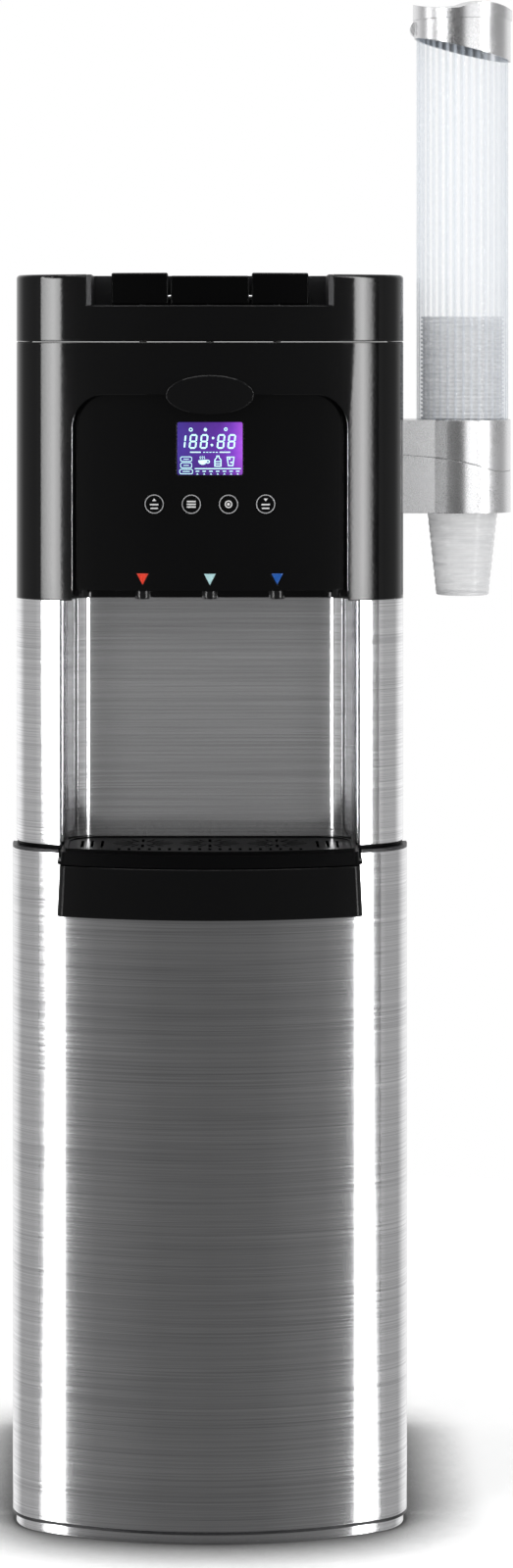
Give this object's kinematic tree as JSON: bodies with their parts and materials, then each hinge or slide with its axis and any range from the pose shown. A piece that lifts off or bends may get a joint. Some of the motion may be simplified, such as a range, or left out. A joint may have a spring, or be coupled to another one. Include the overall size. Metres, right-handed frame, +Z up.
{
  "type": "bottom load water cooler",
  "caption": "Free-standing bottom load water cooler with a bowed steel front, black head with a lit panel and press keys, drip tray, and a side cup dispenser.",
  "frame": {"origin": "on the floor, at the underside of the plinth, under the middle of the cabinet's width and close to the middle of its depth", "axes": "+X to the cooler's right as seen from the front, where the cup dispenser is; -Y to the front; +Z up"},
  "size_m": [0.4135, 0.383, 1.2462],
  "materials": {
    "steel_skin": "horizontally brushed",
    "black_gloss": "polished",
    "black_plastic": "fine satin",
    "panel_black": "polished",
    "badge_black": "polished",
    "side_paint": "satin powder coat",
    "zinc_steel": "zinc plated",
    "hardware": "plain",
    "magnet": "moulded",
    "display": "backlit window",
    "board": "circuit board",
    "marker_red": "printed",
    "marker_pale": "printed",
    "marker_blue": "printed",
    "button_black": "polished, ringed",
    "tap_black": "moulded",
    "key_black": "polished",
    "tank_steel": "drawn",
    "foam": "closed cell foam",
    "aluminium": "extruded",
    "white_plastic": "moulded",
    "silicone": "translucent",
    "silver_plastic": "metallised satin",
    "clear_plastic": "clear, fluted",
    "cup_plastic": "clear, ribbed"
  },
  "bodies": {
    "cabinet": {"base_pan": "black_plastic", "side_panels": "side_paint", "back_panel": "side_paint", "shelf": "zinc_steel", "door_magnet": "magnet", "hinge_pins": "hardware", "deck": "black_gloss", "niche_panel": "steel_skin", "head_cover": "black_gloss", "badge": "badge_black", "control_panel": "panel_black", "display_window": "display", "electronics": "board", "marker_hot": "marker_red", "marker_room": "marker_pale", "marker_cold": "marker_blue", "ceiling": "black_plastic", "taps": "tap_black", "top_cover": "black_gloss", "key_frame": "black_plastic", "key_axle": "hardware", "cold_tank": "tank_steel", "foam": "foam", "cold_block": "aluminium", "heat_sink": "aluminium", "fan_frame": "black_plastic", "heater_band": "zinc_steel", "hot_tank": "tank_steel", "pump": "white_plastic", "power_supply": "white_plastic", "probe": "white_plastic", "hoses": "silicone", "cup_mount": "zinc_steel", "cup_bracket_upper": "silver_plastic", "cup_bracket_lower": "silver_plastic", "cup_tube": "clear_plastic", "cup_retainer": "white_plastic", "cup_stack": "cup_plastic"},
    "door": {"door_skin": "steel_skin", "door_liner": "black_plastic", "door_handle": "black_gloss", "handle_screws": "hardware", "door_strike": "zinc_steel"},
    "tray": {"drip_tray": "black_gloss"},
    "grille": {"drip_grille": "black_gloss"},
    "key_hot_body": {"key_hot": "key_black"},
    "key_room_body": {"key_room": "key_black"},
    "key_cold_body": {"key_cold": "key_black"},
    "rod_hot_body": {"push_rod_hot": "white_plastic"},
    "rod_room_body": {"push_rod_room": "white_plastic"},
    "rod_cold_body": {"push_rod_cold": "white_plastic"},
    "button_1_body": {"button_1": "button_black"},
    "button_2_body": {"button_2": "button_black"},
    "button_3_body": {"button_3": "button_black"},
    "button_4_body": {"button_4": "button_black"},
    "fan": {"fan_rotor": "black_plastic"},
    "cap": {"cup_cap": "silver_plastic"},
    "cup": {"lowest_cup": "cup_plastic"}
  },
  "joints": [
    {"name": "door_hinge", "type": "hinge", "parent": "cabinet", "child": "door", "pos_m": [0.15, -0.106, 0.28], "axis": [0, 0, 1], "range_deg": [0, 100]},
    {"name": "tray_lift", "type": "slide", "parent": "cabinet", "child": "tray", "axis": [0, 0, 1], "range_m": [0, 0.1]},
    {"name": "grille_lift", "type": "slide", "parent": "tray", "child": "grille", "axis": [0, 0, 1], "range_m": [0, 0.08]},
    {"name": "key_hot_press", "type": "hinge", "parent": "cabinet", "child": "key_hot_body", "pos_m": [-0.056, -0.09, 0.992], "axis": [1, 0, 0], "range_deg": [0, 5], "stiffness_Nm_per_rad": 3, "springref_deg": -3.44},
    {"name": "rod_hot_travel", "type": "slide", "parent": "cabinet", "child": "rod_hot_body", "axis": [0, 0, -1], "range_m": [0, 0.005]},
    {"name": "key_room_press", "type": "hinge", "parent": "cabinet", "child": "key_room_body", "pos_m": [0, -0.09, 0.992], "axis": [1, 0, 0], "range_deg": [0, 5], "stiffness_Nm_per_rad": 3, "springref_deg": -3.44},
    {"name": "rod_room_travel", "type": "slide", "parent": "cabinet", "child": "rod_room_body", "axis": [0, 0, -1], "range_m": [0, 0.005]},
    {"name": "key_cold_press", "type": "hinge", "parent": "cabinet", "child": "key_cold_body", "pos_m": [0.056, -0.09, 0.992], "axis": [1, 0, 0], "range_deg": [0, 5], "stiffness_Nm_per_rad": 3, "springref_deg": -3.44},
    {"name": "rod_cold_travel", "type": "slide", "parent": "cabinet", "child": "rod_cold_body", "axis": [0, 0, -1], "range_m": [0, 0.005]},
    {"name": "button_1_press", "type": "slide", "parent": "cabinet", "child": "button_1_body", "axis": [0, 1, 0], "range_m": [0, 0.001], "stiffness_N_per_m": 600, "springref_m": -0.001},
    {"name": "button_2_press", "type": "slide", "parent": "cabinet", "child": "button_2_body", "axis": [0, 1, 0], "range_m": [0, 0.001], "stiffness_N_per_m": 600, "springref_m": -0.001},
    {"name": "button_3_press", "type": "slide", "parent": "cabinet", "child": "button_3_body", "axis": [0, 1, 0], "range_m": [0, 0.001], "stiffness_N_per_m": 600, "springref_m": -0.001},
    {"name": "button_4_press", "type": "slide", "parent": "cabinet", "child": "button_4_body", "axis": [0, 1, 0], "range_m": [0, 0.001], "stiffness_N_per_m": 600, "springref_m": -0.001},
    {"name": "fan_spin", "type": "hinge", "parent": "cabinet", "child": "fan", "pos_m": [0.075, 0.15, 0.64], "axis": [0, 1, 0], "continuous": true},
    {"name": "cap_lift", "type": "slide", "parent": "cabinet", "child": "cap", "axis": [0, 0, 1], "range_m": [0, 0.06]},
    {"name": "cup_pull", "type": "slide", "parent": "cabinet", "child": "cup", "axis": [0, 0, -1], "range_m": [0, 0.12], "deforming": ["cup_retainer"]}
  ],
  "couplings": [
    {"joint": "rod_hot_travel", "follows": "key_hot_press", "m_per_rad": 0.056},
    {"joint": "rod_room_travel", "follows": "key_room_press", "m_per_rad": 0.056},
    {"joint": "rod_cold_travel", "follows": "key_cold_press", "m_per_rad": 0.056}
  ]
}
